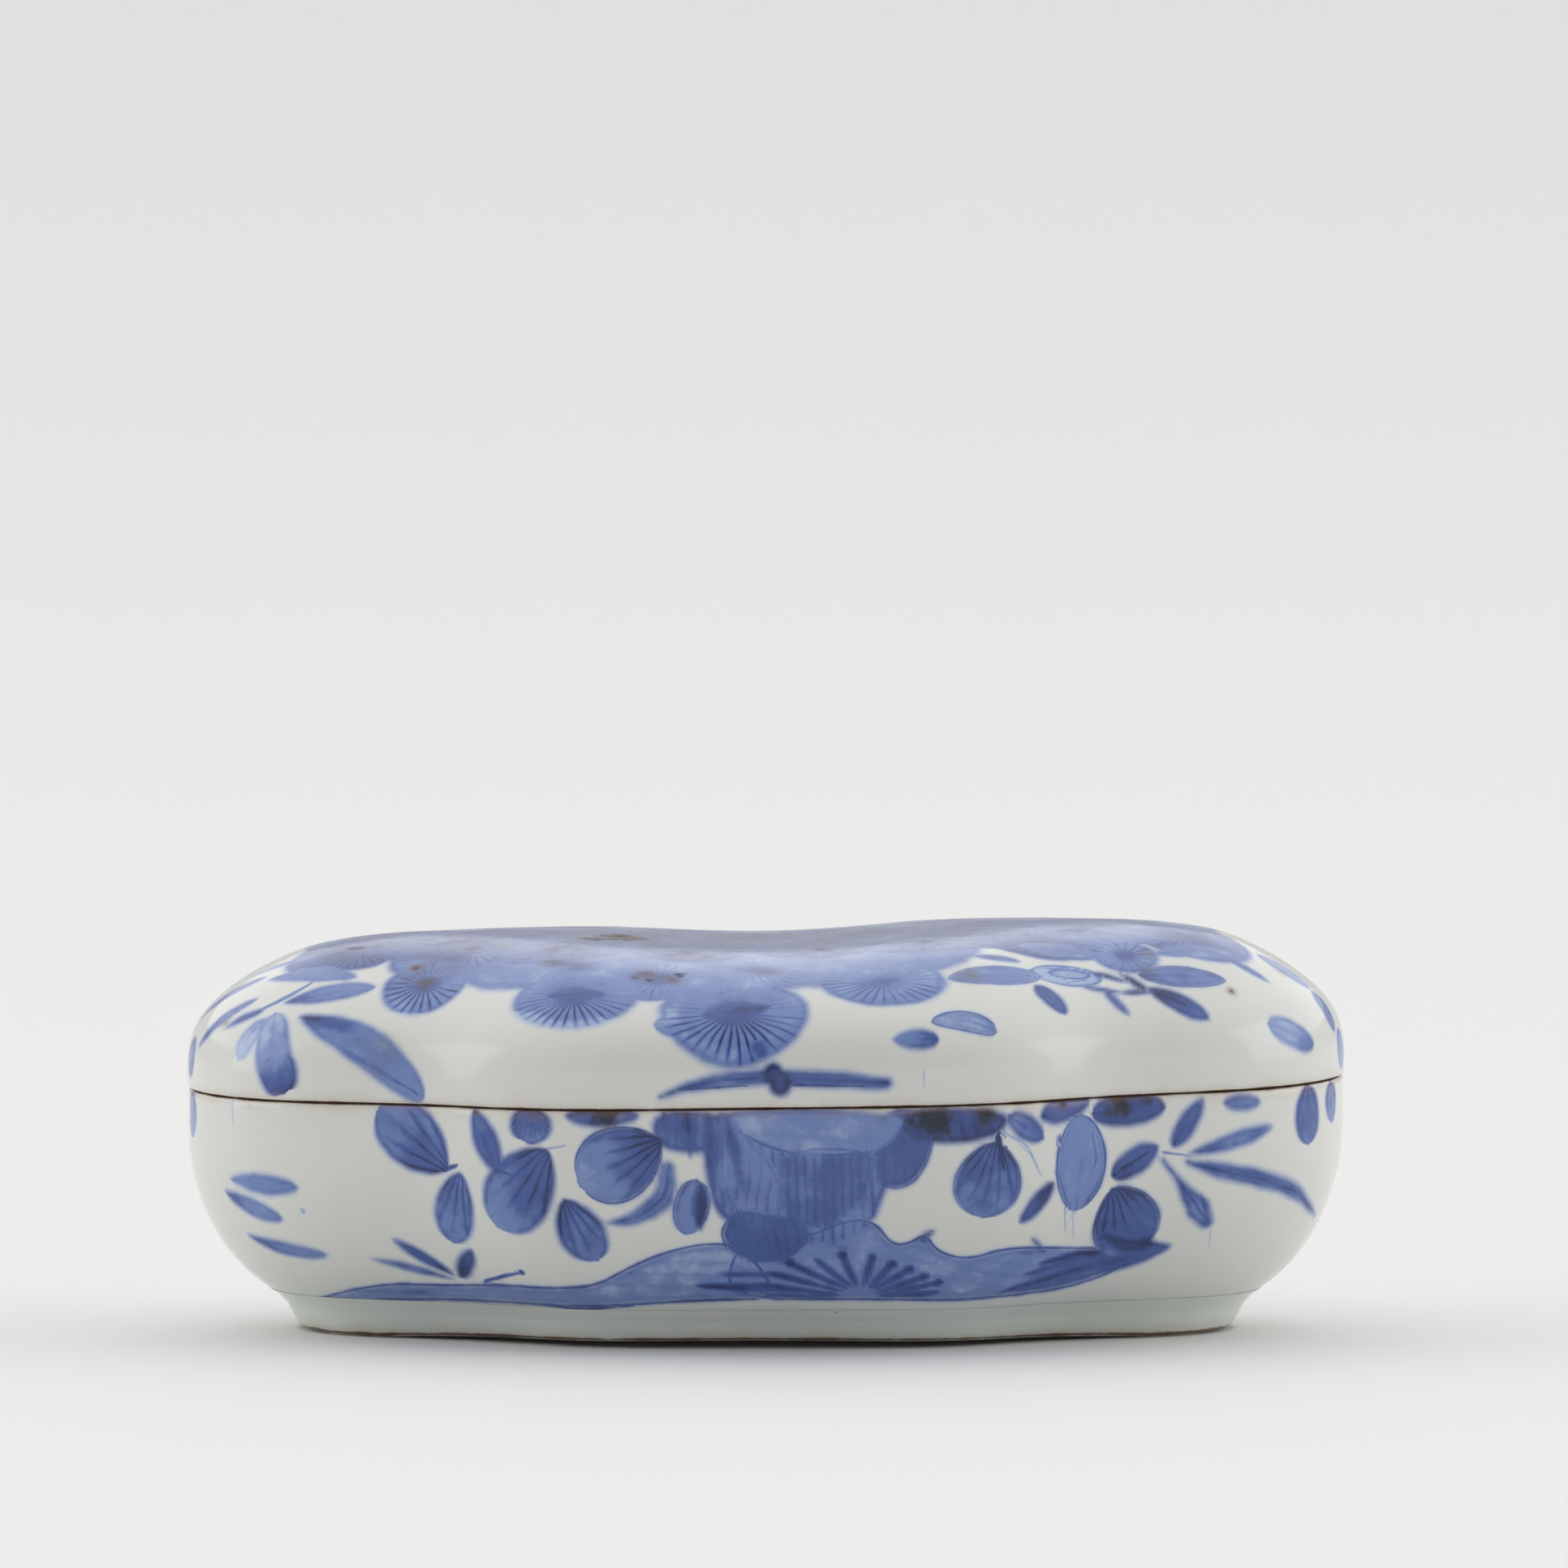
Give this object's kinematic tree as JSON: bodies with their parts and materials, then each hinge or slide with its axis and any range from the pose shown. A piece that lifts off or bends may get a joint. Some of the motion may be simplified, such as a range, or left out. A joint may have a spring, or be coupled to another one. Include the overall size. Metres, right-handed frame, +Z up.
{
  "type": "porcelain trinket box",
  "caption": "Low lobed porcelain box with a lift-off domed lid, a foot ring and a locating rim, painted in underglaze blue with pine, bamboo and plum.",
  "frame": {"origin": "on the table, under the middle of the box", "axes": "+X along the box, +Y to the back, +Z up out of the lid"},
  "size_m": [0.1404, 0.0866, 0.0496],
  "materials": {
    "painted_porcelain": "clear greenish-white glaze over cobalt blue painting",
    "foot_porcelain": "clear greenish-white glaze, wiped off the standing edge, where the clay is burnt orange-brown",
    "bare_porcelain": "unglazed porcelain with an orange-brown flush"
  },
  "bodies": {
    "base": {"base_shell": "painted_porcelain", "foot_ring": "foot_porcelain", "locating_rim": "bare_porcelain"},
    "lid": {"lid": "painted_porcelain"}
  },
  "joints": [
    {"name": "lid_lift", "type": "slide", "parent": "base", "child": "lid", "axis": [0, 0, 1], "range_m": [0, 0.06]}
  ]
}
